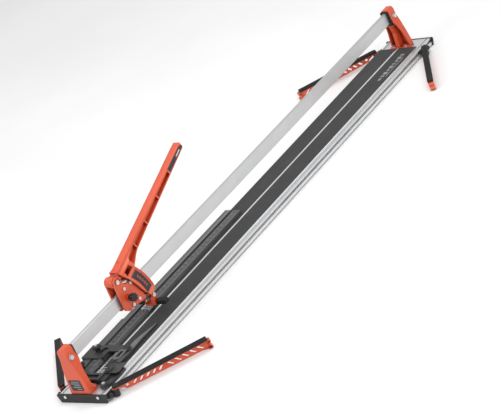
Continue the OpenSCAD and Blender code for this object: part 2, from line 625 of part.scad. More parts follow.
module stop_carrier() {
    color(black) difference() {
        union() {
            // saddle across the fence
            translate([-834, 14, fence_z1 + 0.3]) cube([60, 78.4, 5]);
            translate([-834, 88.4, mat_z + 1.4]) cube([60, 4, fence_z1 + 5.3 - mat_z - 1.4]);
            // arm in front of the fence with the eye of the swinging stop
            translate([-802, -47, mat_z + 11.4]) cube([30, 63, 4.9]);
            translate([-830, 10.5, mat_z + 3.4]) cube([56, 6.1, 12.9]);
            cyl_z(-787, -47, mat_z + 11.4, mat_z + 16.3, 15);
            cyl_z(sk_at[0], sk_at[1], fence_z1 + 0.3, fence_z1 + 7, 9);
        }
        // ruler window over the scale
        translate([-812, 20, 40]) cube([26, 18, 30]);
        cyl_z(sk_at[0], sk_at[1], 40, 70, 4.06);
        cyl_z(-787, -47, 40, 70, 3.06);
    }
}
module stop_knob() { color(black) dome_knob(sk_at[0], sk_at[1], 44.5, fence_z1 + 7.3, 71, 12.5); }
module stop_cam() {
    color("#6a6b6e") {
        linear_extrude_at(mat_z + 16.7, 2.2) difference() {
            union() {
                slot2d(-831, -46, -805, -46, 13);
                slot2d(-806, -46, -787, -47, 9.5);
            }
            slot2d(-827, -46, -809, -46, 6);
        }
        // domed boss over the pin
        translate([-787, -47, 0]) rotate_extrude() polygon([[0, mat_z + 11.8], [3, mat_z + 11.8], [3, mat_z + 16.8], [10, mat_z + 16.8], [10, mat_z + 19], [8.6, mat_z + 20.6], [5.5, mat_z + 21.4], [0, mat_z + 21.6]]);
    }
}
module front_stop() {
    color(black) difference() {
        union() {
            linear_extrude_at(43.2, 3.6) polygon([[-893, -40], [-885, -34], [-852, -36], [-846, -44], [-846, -88], [-886, -89], [-893, -80]]);
            linear_extrude_at(37.6, 8) polygon([[-850, -40], [-850, -62], [-800, -66], [-651, -58], [-649, -55], [-651, -53], [-700, -44], [-800, -38]]);
            cyl_z(-879, -48, 42.8, 50.5, 11);
            cyl_z(-879, -48, 31, 43, 4);
        }
        // mitred top of the long nose
        translate([-760, -70, 47.2]) rotate([0, 3.4, 0]) cube([140, 40, 10]);
        translate([-879, -48, 50.5]) cylinder(h = 3, r = 4, center = true, $fn = 6);
    }
}

// ---------- side supports ----------
// support frame: x along the arm from its hinge, z up from the floor
module arm_sheet() {
    difference() {
        polygon([[11, 28.6], [pad_l + 8, 28.6], [pad_l + 9, 22], [pad_l + 3, 17], [pad_l + 5, 12], [pad_l + 9, 8.5], [pad_l + 9, 4], [pad_l + 5, 1], [pad_l - 4, 0.8], [pad_l - 22, 4.5], [40, 8], [30, 9.5], [26, 16], [16, 19.5], [11, 22]]);
        for (i = [0:4]) slot2d(56 + i * 20, 13.8, 64 + i * 20, 21.2, 2.8);
        for (i = [0:4]) slot2d(163 + i * 23, 22.5, 177 + i * 23, 10.8, 2.2);
        translate([36, 18.5]) circle(r = 4.4);
    }
}
module arm() {
    color(orange) difference() {
        union() {
            across_y(-1.5, 1.5) arm_sheet();
            translate([0, -9, 26.2]) cube([pad_l + 8, 18, 2.4]);
            // strip bent down at the tip into a rolled foot
            across_y(-9, 9) polygon([[pad_l + 2, 28.6], [pad_l + 8, 28.6], [pad_l + 9, 22], [pad_l + 3, 17], [pad_l + 5, 12], [pad_l + 9, 8.5], [pad_l + 9, 4], [pad_l + 5, 1], [pad_l - 4, 0.8], [pad_l - 4, 3.3], [pad_l + 3.8, 3.6], [pad_l + 6.3, 5], [pad_l + 6.3, 7.6], [pad_l + 2.8, 10.6], [pad_l + 0.3, 17], [pad_l + 6, 23], [pad_l + 5.5, 26.3]]);
            cyl_z(0, 0, 26.2, 28.6, 9);
        }
        cyl_z(0, 0, -1, 30, 3.06);
    }
}
module pad() {
    color(black) linear_extrude_at(28.6, 7.6) {
        translate([4, -10]) square([pad_l - 6, 20]);
        translate([4, 0]) circle(r = 10);
        translate([pad_l - 4, 0]) rotate(0) translate([-3, -10]) square([8, 20]);
    }
}
module at_arm(ix, iy) {
    px = ix < 0 ? arm_pivot_n : arm_pivot_f;
    a = ix < 0 ? (iy < 0 ? -arm_nf : arm_nr) : (iy < 0 ? 180 + arm_ff : 180 - arm_fr);
    translate([px, iy * arm_py, 0]) rotate(a) children();
}
module near_front_arm() { at_arm(-1, -1) arm(); }
module near_rear_arm() { at_arm(-1, 1) arm(); }
module far_front_arm() { at_arm(1, -1) arm(); }
module far_rear_arm() { at_arm(1, 1) arm(); }
module near_front_pad() { at_arm(-1, -1) pad(); }
module near_rear_pad() { at_arm(-1, 1) pad(); }
module far_front_pad() { at_arm(1, -1) pad(); }
module far_rear_pad() { at_arm(1, 1) pad(); }
module block(px, iy, sx) {
    translate([px, 0, 0]) scale([sx, iy, 1]) difference() {
        union() {
            // tongue in the side groove, body, and ear under the arm
            translate([-28, hw - 8.1, 12.8]) cube([42, 3.3, 11.4]);
            translate([-28, hw - 4.9, 14.6]) cube([42, 5.2, 7.8]);
            translate([-28, hw + 0.25, 9]) cube([42, 6.5, 16]);
            translate([-8, hw + 6, 3.4]) cube([16, 9, 22.5]);
            cyl_z(0, arm_py, 3.4, 25.9, 9);
        }
        cyl_z(0, arm_py, 0, 30, 2.95);
        translate([-20, hw + 10, 17]) rotate([90, 0, 0]) cylinder(h = 30, r = 2.6);
    }
}
module support_blocks() { color(black) for (ix = [-1, 1], iy = [-1, 1]) block(ix < 0 ? arm_pivot_n : arm_pivot_f, iy, -ix); }
module support_pins() {
    color(steel) for (px = [arm_pivot_n, arm_pivot_f], iy = [-1, 1]) {
        cyl_z(px, iy * arm_py, 3.6, 28.2, 2.94);
    }
}
module support_screws() {
    color(black) for (ix = [-1, 1], iy = [-1, 1]) translate([(ix < 0 ? arm_pivot_n : arm_pivot_f) + ix * 20, iy * (hw + 6.8), 17]) rotate([iy > 0 ? -90 : 90, 0, 0]) {
        cylinder(h = 3.5, r = 3.4);
        linear_extrude_at(3.49, 6) difference() {
            circle(r = 7);
            for (k = [0:5]) rotate(k * 60) translate([8.2, 0]) circle(r = 2.4);
        }
        translate([0, 0, -12.5]) cylinder(h = 12.51, r = 2.5);
    }
}

base_extrusion();
breaking_bar();
near_end_cap();
far_end_cap();
end_cap_screws();
rubber_feet();
near_bracket();
far_bracket();
bracket_screws();
beam_clamp_bolts();
near_gasket();
far_gasket();
guide_beam();
front_table();
rear_table();
front_mat();
rear_mat();
front_springs();
rear_springs();
carriage_front_plate();
carriage_rear_plate();
carriage_axles();
carriage_nuts();
upper_near_roller();
upper_far_roller();
lower_near_roller();
lower_far_roller();
lock_knob();
pivot_bolt();
lever();
handle_inserts();
head_panels();
wheel_holder();
cutting_wheel();
wheel_axle();
breaker_bracket();
breaker_bar();
breaker_strip();
breaker_bolt();
crossbar();
crossbar_screws();
fence_bar();
fence_scale();
fence_knob();
scale_slider();
stop_carrier();
stop_knob();
stop_cam();
front_stop();
near_front_arm();
near_rear_arm();
far_front_arm();
far_rear_arm();
near_front_pad();
near_rear_pad();
far_front_pad();
far_rear_pad();
support_blocks();
support_pins();
support_screws();
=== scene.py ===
import bpy, bmesh, json, math
from mathutils import Matrix, Vector


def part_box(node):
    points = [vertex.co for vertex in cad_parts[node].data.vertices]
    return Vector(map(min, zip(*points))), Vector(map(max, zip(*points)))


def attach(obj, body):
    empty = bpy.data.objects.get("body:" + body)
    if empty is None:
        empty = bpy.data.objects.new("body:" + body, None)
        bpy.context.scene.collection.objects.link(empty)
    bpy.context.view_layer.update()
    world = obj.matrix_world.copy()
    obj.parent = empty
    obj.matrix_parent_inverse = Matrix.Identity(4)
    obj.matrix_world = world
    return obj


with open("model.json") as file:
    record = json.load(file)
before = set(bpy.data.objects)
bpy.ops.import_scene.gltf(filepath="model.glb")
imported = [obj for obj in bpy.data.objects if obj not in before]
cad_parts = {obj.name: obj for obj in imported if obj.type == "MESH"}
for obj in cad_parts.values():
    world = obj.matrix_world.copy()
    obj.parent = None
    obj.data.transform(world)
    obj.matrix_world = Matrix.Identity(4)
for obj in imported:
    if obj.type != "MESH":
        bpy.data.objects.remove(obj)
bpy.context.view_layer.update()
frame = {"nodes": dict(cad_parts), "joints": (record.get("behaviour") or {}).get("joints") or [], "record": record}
nodes = frame["nodes"]
scene = bpy.context.scene

# ------------------------------------------------------------------ materials


class Mat:
    """A small helper that builds a node material in object coordinates, which are the row frame in metres."""

    def __init__(self, name, metallic=0.0, coat=0.0, coat_rough=0.3, aniso=0.0, spec=0.5, sheen=0.0):
        self.m = bpy.data.materials.new(name)
        self.m.use_nodes = True
        self.t = self.m.node_tree
        self.b = self.t.nodes["Principled BSDF"]
        self.b.inputs["Metallic"].default_value = metallic
        self.b.inputs["Coat Weight"].default_value = coat
        self.b.inputs["Coat Roughness"].default_value = coat_rough
        self.b.inputs["Anisotropic"].default_value = aniso
        self.b.inputs["Specular IOR Level"].default_value = spec
        self.b.inputs["Sheen Weight"].default_value = sheen
        self.co = self.t.nodes.new("ShaderNodeTexCoord").outputs["Object"]

    def node(self, kind, **k):
        n = self.t.nodes.new(kind)
        for a, v in k.items():
            setattr(n, a, v)
        return n

    def link(self, a, b):
        self.t.links.new(a, b)

    def mapping(self, scale, rot=(0, 0, 0)):
        n = self.node("ShaderNodeMapping")
        n.inputs["Scale"].default_value = scale
        n.inputs["Rotation"].default_value = rot
        self.link(self.co, n.inputs["Vector"])
        return n.outputs["Vector"]

    def noise(self, scale, detail=3.0, rough=0.55, vec=None, distort=0.0):
        n = self.node("ShaderNodeTexNoise")
        n.inputs["Scale"].default_value = scale
        n.inputs["Detail"].default_value = detail
        n.inputs["Roughness"].default_value = rough
        n.inputs["Distortion"].default_value = distort
        self.link(vec if vec else self.co, n.inputs["Vector"])
        return n.outputs["Fac"]

    def voronoi(self, scale, feature="F1", vec=None):
        n = self.node("ShaderNodeTexVoronoi", feature=feature)
        n.inputs["Scale"].default_value = scale
        self.link(vec if vec else self.co, n.inputs["Vector"])
        return n.outputs["Distance"]

    def wave(self, scale, direction="X", vec=None, distort=0.0):
        n = self.node("ShaderNodeTexWave", bands_direction=direction)
        n.inputs["Scale"].default_value = scale
        n.inputs["Distortion"].default_value = distort
        self.link(vec if vec else self.co, n.inputs["Vector"])
        return n.outputs["Fac"]

    def remap(self, v, lo, hi, a=0.0, b=1.0):
        n = self.node("ShaderNodeMapRange")
        n.inputs["From Min"].default_value = lo
        n.inputs["From Max"].default_value = hi
        n.inputs["To Min"].default_value = a
        n.inputs["To Max"].default_value = b
        self.link(v, n.inputs["Value"])
        return n.outputs["Result"]

    def math(self, op, a, b):
        n = self.node("ShaderNodeMath", operation=op)
        for i, v in enumerate((a, b)):
            if isinstance(v, (int, float)):
                n.inputs[i].default_value = v
            else:
                self.link(v, n.inputs[i])
        return n.outputs[0]

    def mix(self, fac, a, b):
        n = self.node("ShaderNodeMix", data_type="RGBA")
        self.link(fac, n.inputs["Factor"])
        for s, v in (("A", a), ("B", b)):
            sock = [i for i in n.inputs if i.name == s and i.type == "RGBA"][0]
            if isinstance(v, tuple):
                sock.default_value = (*v, 1.0)
            else:
                self.link(v, sock)
        return [o for o in n.outputs if o.type == "RGBA"][0]

    def edge(self, lo=0.53, hi=0.62):
        # painted highlight: a mask from mesh pointiness that lightens sharp edges
        g = self.node("ShaderNodeNewGeometry")
        return self.remap(g.outputs["Pointiness"], lo, hi)

    def color(self, v):
        self.link(v, self.b.inputs["Base Color"])

    def rough(self, v):
        self.link(v, self.b.inputs["Roughness"])

    def bump(self, v, strength, dist, into=None):
        n = self.node("ShaderNodeBump")
        n.inputs["Strength"].default_value = strength
        n.inputs["Distance"].default_value = dist
        self.link(v, n.inputs["Height"])
        if into:
            self.link(into, n.inputs["Normal"])
        self.link(n.outputs["Normal"], self.b.inputs["Normal"])
        return n.outputs["Normal"]


def orange_paint():
    # powder coat: fine orange peel, slightly uneven film, painted highlight on the edges and a little dust
    m = Mat("orange_paint", coat=0.18, coat_rough=0.32, spec=0.45)
    film = m.noise(9.0, 5.0, 0.6)
    grain = m.noise(420.0, 3.0, 0.5)
    dust = m.noise(46.0, 6.0, 0.65, distort=0.6)
    c = m.mix(m.remap(film, 0.35, 0.65), (0.585, 0.064, 0.018), (0.645, 0.080, 0.025))
    c = m.mix(m.remap(dust, 0.56, 0.78, 0.0, 0.22), c, (0.46, 0.052, 0.018))
    c = m.mix(m.remap(grain, 0.60, 0.78, 0.0, 0.35), c, (0.70, 0.115, 0.045))
    # painted highlight: lighter orange along sharp edges
    c = m.mix(m.edge(0.54, 0.66), c, (0.72, 0.15, 0.07))
    # painted shade in the pockets: darker orange where ambient occlusion finds recesses
    ao = m.node("ShaderNodeAmbientOcclusion", samples=8)
    ao.inputs["Distance"].default_value = 0.014
    c = m.mix(m.remap(ao.outputs["AO"], 0.30, 0.85), (0.20, 0.016, 0.006), c)
    m.color(c)
    m.rough(m.remap(m.math("ADD", m.math("MULTIPLY", film, 0.5), m.math("MULTIPLY", grain, 0.5)), 0.3, 0.7, 0.30, 0.50))
    n = m.bump(m.noise(1300.0, 2.0, 0.5), 0.22, 0.00012)
    m.bump(m.noise(260.0, 2.0, 0.5), 0.16, 0.0003, n)
    return m.m


def aluminium(name, a, b, rlo, rhi, streak=1.0, wearc=(0.93, 0.94, 0.95)):
    # extruded and anodised: die lines along X, a cloudy film, small handling scratches
    m = Mat(name, metallic=0.82, aniso=0.35, spec=0.5)
    die = m.noise(1.0, 3.0, 0.6, vec=m.mapping((3.0, 900.0, 900.0)))
    fine = m.noise(1.0, 2.0, 0.6, vec=m.mapping((14.0, 2600.0, 2600.0)))
    cloud = m.noise(7.0, 5.0, 0.6)
    scr = m.noise(1.0, 2.0, 0.5, vec=m.mapping((60.0, 1500.0, 900.0), (0.0, 0.0, 0.35)))
    c = m.mix(m.remap(die, 0.3, 0.7), a, b)
    c = m.mix(m.remap(cloud, 0.42, 0.75, 0.0, 0.35), c, tuple(0.86 * v for v in a))
    c = m.mix(m.remap(scr, 0.68, 0.76, 0.0, 0.4), c, wearc)
    m.color(c)
    m.rough(m.remap(m.math("ADD", m.math("MULTIPLY", die, 0.6), m.math("MULTIPLY", cloud, 0.4)), 0.3, 0.7, rlo, rhi))
    n = m.bump(die, 0.10 * streak, 0.00010)
    n = m.bump(fine, 0.10 * streak, 0.00005, n)
    m.bump(scr, 0.06, 0.00008, n)
    return m.m


def plastic(name, a, b, rlo, rhi, grain=1500.0, depth=0.25):
    # moulded: spark-eroded grain, painted highlight on the edges, faint dust
    m = Mat(name, spec=0.32)
    g = m.noise(grain, 3.0, 0.6)
    d = m.noise(60.0, 6.0, 0.7, distort=0.4)
    c = m.mix(m.remap(g, 0.35, 0.7), a, b)
    c = m.mix(m.remap(d, 0.56, 0.8, 0.0, 0.20), c, (0.10, 0.098, 0.095))
    # painted highlight: lighter grey along sharp edges
    c = m.mix(m.edge(0.54, 0.68), c, (0.13, 0.13, 0.135))
    m.color(c)
    m.rough(m.remap(m.math("ADD", m.math("MULTIPLY", g, 0.5), m.math("MULTIPLY", d, 0.5)), 0.3, 0.7, rlo, rhi))
    n = m.bump(g, depth, 0.00012)
    m.bump(m.noise(35.0, 3.0, 0.5), 0.08, 0.0006, n)
    return m.m


def mat_rubber():
    # sheet rubber: fine pebble grain, chalky tile dust in the grain
    m = Mat("mat_rubber", spec=0.3, sheen=0.12)
    p = m.voronoi(620.0)
    g = m.noise(240.0, 4.0, 0.6)
    d = m.noise(9.0, 7.0, 0.68, distort=0.5)
    c = m.mix(m.remap(g, 0.3, 0.7), (0.016, 0.016, 0.017), (0.027, 0.027, 0.028))
    c = m.mix(m.remap(p, 0.0, 0.7, 0.25, 0.0), c, (0.075, 0.075, 0.077))
    c = m.mix(m.remap(d, 0.55, 0.85, 0.0, 0.22), c, (0.15, 0.148, 0.145))
    m.color(c)
    m.rough(m.remap(d, 0.3, 0.7, 0.62, 0.86))
    n = m.bump(p, 0.35, 0.00018)
    m.bump(g, 0.15, 0.0002, n)
    return m.m


def rubber():
    # thick pad rubber with cross ribs that only show close up
    m = Mat("rubber", spec=0.3)
    g = m.noise(900.0, 4.0, 0.6)
    d = m.noise(24.0, 6.0, 0.65, distort=0.5)
    c = m.mix(m.remap(g, 0.3, 0.7), (0.009, 0.009, 0.010), (0.018, 0.018, 0.019))
    c = m.mix(m.remap(d, 0.55, 0.8, 0.0, 0.3), c, (0.11, 0.11, 0.108))
    m.color(c)
    m.rough(m.remap(d, 0.3, 0.7, 0.55, 0.78))
    n = m.bump(g, 0.3, 0.00015)
    m.bump(m.noise(70.0, 3.0, 0.5), 0.12, 0.0005, n)
    return m.m


def zinc():
    # bright zinc plate: bluish cloud, turning marks, dull spots
    m = Mat("zinc_steel", metallic=0.92, aniso=0.2)
    cl = m.noise(150.0, 5.0, 0.6)
    t = m.noise(2200.0, 2.0, 0.5)
    c = m.mix(m.remap(cl, 0.35, 0.7), (0.62, 0.64, 0.68), (0.80, 0.81, 0.82))
    c = m.mix(m.remap(m.noise(420.0, 6.0, 0.7), 0.62, 0.8, 0.0, 0.5), c, (0.42, 0.42, 0.41))
    m.color(c)
    m.rough(m.remap(cl, 0.3, 0.7, 0.20, 0.40))
    m.bump(t, 0.12, 0.00006)
    return m.m


def casting(name="black_casting", a=(0.013, 0.013, 0.014), b=(0.027, 0.027, 0.029)):
    # die casting under satin black: cast skin, painted highlight on the corners
    m = Mat(name, coat=0.08, coat_rough=0.5, spec=0.45)
    s = m.noise(330.0, 5.0, 0.62)
    l = m.noise(30.0, 4.0, 0.6)
    c = m.mix(m.remap(s, 0.3, 0.7), a, b)
    c = m.mix(m.remap(l, 0.58, 0.8, 0.0, 0.3), c, (0.10, 0.10, 0.10))
    # painted highlight: lighter grey along sharp edges and corners
    c = m.mix(m.edge(0.54, 0.68), c, (0.16, 0.16, 0.165))
    m.color(c)
    m.rough(m.remap(l, 0.3, 0.7, 0.38, 0.58))
    n = m.bump(s, 0.3, 0.00025)
    m.bump(m.noise(1400.0, 2.0, 0.5), 0.15, 0.00008, n)
    return m.m


def dark_anodised(name, a, b, rlo=0.34, rhi=0.52):
    m = Mat(name, metallic=0.35, aniso=0.25, spec=0.5)
    die = m.noise(1.0, 3.0, 0.6, vec=m.mapping((3.0, 1100.0, 1100.0)))
    cl = m.noise(14.0, 5.0, 0.6)
    scr = m.noise(1.0, 2.0, 0.5, vec=m.mapping((80.0, 1700.0, 900.0), (0.0, 0.0, -0.3)))
    c = m.mix(m.remap(die, 0.3, 0.7), a, b)
    c = m.mix(m.remap(scr, 0.70, 0.78, 0.0, 0.5), c, (0.34, 0.34, 0.345))
    # painted highlight: lighter grey along sharp edges
    c = m.mix(m.edge(0.54, 0.66), c, (0.26, 0.26, 0.265))
    m.color(c)
    m.rough(m.remap(cl, 0.3, 0.7, rlo, rhi))
    m.bump(die, 0.14, 0.0001)
    return m.m


def carbide():
    m = Mat("carbide", metallic=1.0)
    t = m.noise(1800.0, 3.0, 0.6)
    c = m.mix(m.remap(t, 0.3, 0.7), (0.70, 0.50, 0.18), (0.86, 0.66, 0.28))
    m.color(c)
    m.rough(m.remap(t, 0.3, 0.7, 0.18, 0.32))
    m.bump(t, 0.08, 0.00004)
    return m.m


def ink(name, a, b):
    # pad-printed ink: thin, slightly broken film
    m = Mat(name, spec=0.4)
    t = m.noise(1500.0, 4.0, 0.65)
    c = m.mix(m.remap(t, 0.3, 0.72), a, b)
    m.color(c)
    m.rough(m.remap(t, 0.3, 0.7, 0.40, 0.62))
    m.bump(t, 0.12, 0.00005)
    return m.m


M = {
    "orange_paint": orange_paint(),
    "base_aluminium": aluminium("base_aluminium", (0.70, 0.705, 0.71), (0.80, 0.805, 0.81), 0.30, 0.44),
    "table_aluminium": aluminium("table_aluminium", (0.78, 0.79, 0.80), (0.88, 0.885, 0.89), 0.26, 0.40),
    "bright_aluminium": aluminium("bright_aluminium", (0.88, 0.89, 0.90), (0.96, 0.96, 0.96), 0.16, 0.28),
    "beam_aluminium": aluminium("beam_aluminium", (0.58, 0.583, 0.59), (0.66, 0.663, 0.67), 0.34, 0.48),
    "silver_clip": aluminium("silver_clip", (0.80, 0.81, 0.82), (0.90, 0.90, 0.91), 0.25, 0.38, 0.5),
    "black_plastic": plastic("black_plastic", (0.010, 0.010, 0.011), (0.020, 0.020, 0.022), 0.42, 0.60),
    "panel_plastic": plastic("panel_plastic", (0.014, 0.017, 0.022), (0.028, 0.032, 0.040), 0.42, 0.60, 2200.0, 0.35),
    "mat_rubber": mat_rubber(),
    "rubber": rubber(),
    "zinc_steel": zinc(),
    "black_casting": casting(),
    "fence_aluminium": dark_anodised("fence_aluminium", (0.050, 0.051, 0.053), (0.080, 0.081, 0.084)),
    "scale_strip": dark_anodised("scale_strip", (0.034, 0.034, 0.036), (0.055, 0.055, 0.058), 0.42, 0.6),
    "grey_lever": casting("grey_lever", (0.085, 0.085, 0.088), (0.125, 0.125, 0.13)),
    "carbide": carbide(),
}
WHITE = ink("white_ink", (0.62, 0.62, 0.61), (0.78, 0.78, 0.77))
PALE = ink("pale_ink", (0.30, 0.30, 0.30), (0.44, 0.44, 0.44))
FAINT = ink("faint_ink", (0.24, 0.24, 0.24), (0.34, 0.34, 0.34))
RED = ink("red_ink", (0.46, 0.07, 0.035), (0.62, 0.10, 0.05))

slots = {s["node"]: s["material_slot"] for s in frame["record"]["subparts"]}
# small edge radii, so that corners catch the light as cast, moulded and folded ones do
RADII = {
    "lever": 0.0011, "near_bracket": 0.0012, "far_bracket": 0.0012, "carriage_front_plate": 0.0006,
    "carriage_rear_plate": 0.0006, "breaker_bracket": 0.0005, "crossbar": 0.0010, "stop_carrier": 0.0009,
    "front_stop": 0.0009, "stop_cam": 0.0004, "breaker_bar": 0.0012, "base_extrusion": 0.0004,
    "guide_beam": 0.0004, "fence_bar": 0.0004, "fence_scale": 0.0002, "front_mat": 0.0003, "rear_mat": 0.0003,
    "near_end_cap": 0.0007, "far_end_cap": 0.0007, "support_blocks": 0.0007, "near_front_pad": 0.0013,
    "near_rear_pad": 0.0013, "far_front_pad": 0.0013, "far_rear_pad": 0.0013, "near_gasket": 0.0008,
    "far_gasket": 0.0008, "scale_slider": 0.0004, "head_panels": 0.0002, "handle_inserts": 0.0002,
    "near_front_arm": 0.0003, "near_rear_arm": 0.0003, "far_front_arm": 0.0003, "far_rear_arm": 0.0003,
    "lock_knob": 0.0008, "support_screws": 0.0006, "pivot_bolt": 0.0004, "carriage_nuts": 0.0003,
    "beam_clamp_bolts": 0.0005, "bracket_screws": 0.0004, "end_cap_screws": 0.0004, "crossbar_screws": 0.0004,
    "carriage_axles": 0.0004, "breaker_bolt": 0.0004, "rubber_feet": 0.0006, "breaking_bar": 0.0002,
    "front_table": 0.0003, "rear_table": 0.0003, "breaker_strip": 0.0002, "wheel_holder": 0.0004,
}


def soften(o, width, segs=2):
    w = o.modifiers.new("weld", "WELD")
    w.merge_threshold = 0.00001
    d = o.modifiers.new("planar", "DECIMATE")
    d.decimate_type = "DISSOLVE"
    d.angle_limit = math.radians(0.6)
    b = o.modifiers.new("edges", "BEVEL")
    b.width = width
    b.segments = segs
    b.limit_method = "ANGLE"
    b.angle_limit = math.radians(28)
    b.miter_outer = "MITER_ARC"
    b.use_clamp_overlap = True
    b.harden_normals = True


for name, o in nodes.items():
    o.data.materials.clear()
    o.data.materials.append(M[slots[name]])
    for p in o.data.polygons:
        p.material_index = 0
    if name in RADII:
        soften(o, RADII[name])

# ------------------------------------------------------------------ mesh helpers
COLL = scene.collection


def obj_from(bm, name, mat, body, bevel=0.0, smooth=False):
    me = bpy.data.meshes.new(name)
    bmesh.ops.recalc_face_normals(bm, faces=bm.faces)
    bm.to_mesh(me)
    bm.free()
    o = bpy.data.objects.new(name, me)
    COLL.objects.link(o)
    me.materials.append(mat)
    if smooth:
        for p in me.polygons:
            p.use_smooth = True
    if bevel:
        b = o.modifiers.new("edges", "BEVEL")
        b.width = bevel
        b.segments = 2
        b.limit_method = "ANGLE"
        b.angle_limit = math.radians(30)
        b.harden_normals = True
    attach(o, body)
    return o


def prism(bm, pts, origin, ux, uy, n, h):
    """A closed prism: a 2D outline in the plane (ux, uy), raised by h along n. Sizes in metres."""
    o = Vector(origin); ux = Vector(ux); uy = Vector(uy); n = Vector(n)
    lo = [bm.verts.new(o + ux * x + uy * y) for x, y in pts]
    hi = [bm.verts.new(o + ux * x + uy * y + n * h) for x, y in pts]
    bm.faces.new(lo)
    bm.faces.new(hi)
    k = len(pts)
    for i in range(k):
        bm.faces.new((lo[i], lo[(i + 1) % k], hi[(i + 1) % k], hi[i]))


def rounded(w, h, r, n=5, cx=0.0, cy=0.0):
    pts = []
    for i, (sx, sy) in enumerate(((1, 1), (-1, 1), (-1, -1), (1, -1))):
        for k in range(n + 1):
            a = math.radians(90 * i + 90 * k / n)
            pts.append((cx + sx * (w / 2 - r) + r * math.cos(a), cy + sy * (h / 2 - r) + r * math.sin(a)))
    return pts


SEG = {"0": "abcdef", "1": "bc", "2": "abged", "3": "abgcd", "4": "fgbc", "5": "afgcd", "6": "afgedc", "7": "abc", "8": "abcdefg", "9": "abcdfg"}


def digit_bars(ch, x, y, h, t):
    """Outlines of a seven-bar figure, lower left corner at x, y."""
    w = h * 0.55
    q = {"a": (x, y + h - t, w, t), "d": (x, y, w, t), "g": (x, y + h / 2 - t / 2, w, t), "f": (x, y + h / 2, t, h / 2), "e": (x, y, t, h / 2), "b": (x + w - t, y + h / 2, t, h / 2), "c": (x + w - t, y, t, h / 2)}
    return [[(a, b), (a + c, b), (a + c, b + d), (a, b + d)] for a, b, c, d in (q[s] for s in SEG[ch])]


# ------------------------------------------------------------------ fence scale: ticks, figures, edges
lo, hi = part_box("fence_scale")
top = hi.z if hasattr(hi, "z") else hi[2]
x0, x1 = lo[0], hi[0]
y0, y1 = lo[1], hi[1]
bm = bmesh.new()
n = 0
x = x0 + 0.030
while x < x1 - 0.004:
    length = 0.0095 if n % 10 == 0 else (0.0072 if n % 5 == 0 else 0.0042)
    prism(bm, [(-0.00028, 0), (0.00028, 0), (0.00028, length), (-0.00028, length)], (x, y0 + 0.0026, top), (1, 0, 0), (0, 1, 0), (0, 0, 1), 0.00012)
    if n % 2 == 0:
        prism(bm, [(-0.00028, 0), (0.00028, 0), (0.00028, length * 0.6), (-0.00028, length * 0.6)], (x, y1 - 0.0018 - length * 0.6, top), (1, 0, 0), (0, 1, 0), (0, 0, 1), 0.00012)
    x += 0.005
    n += 1
obj_from(bm, "scale_ticks", PALE, "fence")
bm = bmesh.new()
k = 1
x = x0 + 0.030
while x < x1 - 0.02:
    for j, ch in enumerate(str(k)):
        for bar in digit_bars(ch, j * 0.0042, 0, 0.0062, 0.0008):
            prism(bm, bar, (x - 0.0018, y0 + 0.0145, top), (1, 0, 0), (0, 1, 0), (0, 0, 1), 0.00012)
    k += 1
    x += 0.020
obj_from(bm, "scale_figures", FAINT, "fence")
bm = bmesh.new()
prism(bm, [(0, 0), (x1 - x0 - 0.004, 0), (x1 - x0 - 0.004, 0.0007), (0, 0.0007)], (x0 + 0.002, y0 + 0.0012, top), (1, 0, 0), (0, 1, 0), (0, 0, 1), 0.0001)
obj_from(bm, "scale_edge_line", FAINT, "fence")

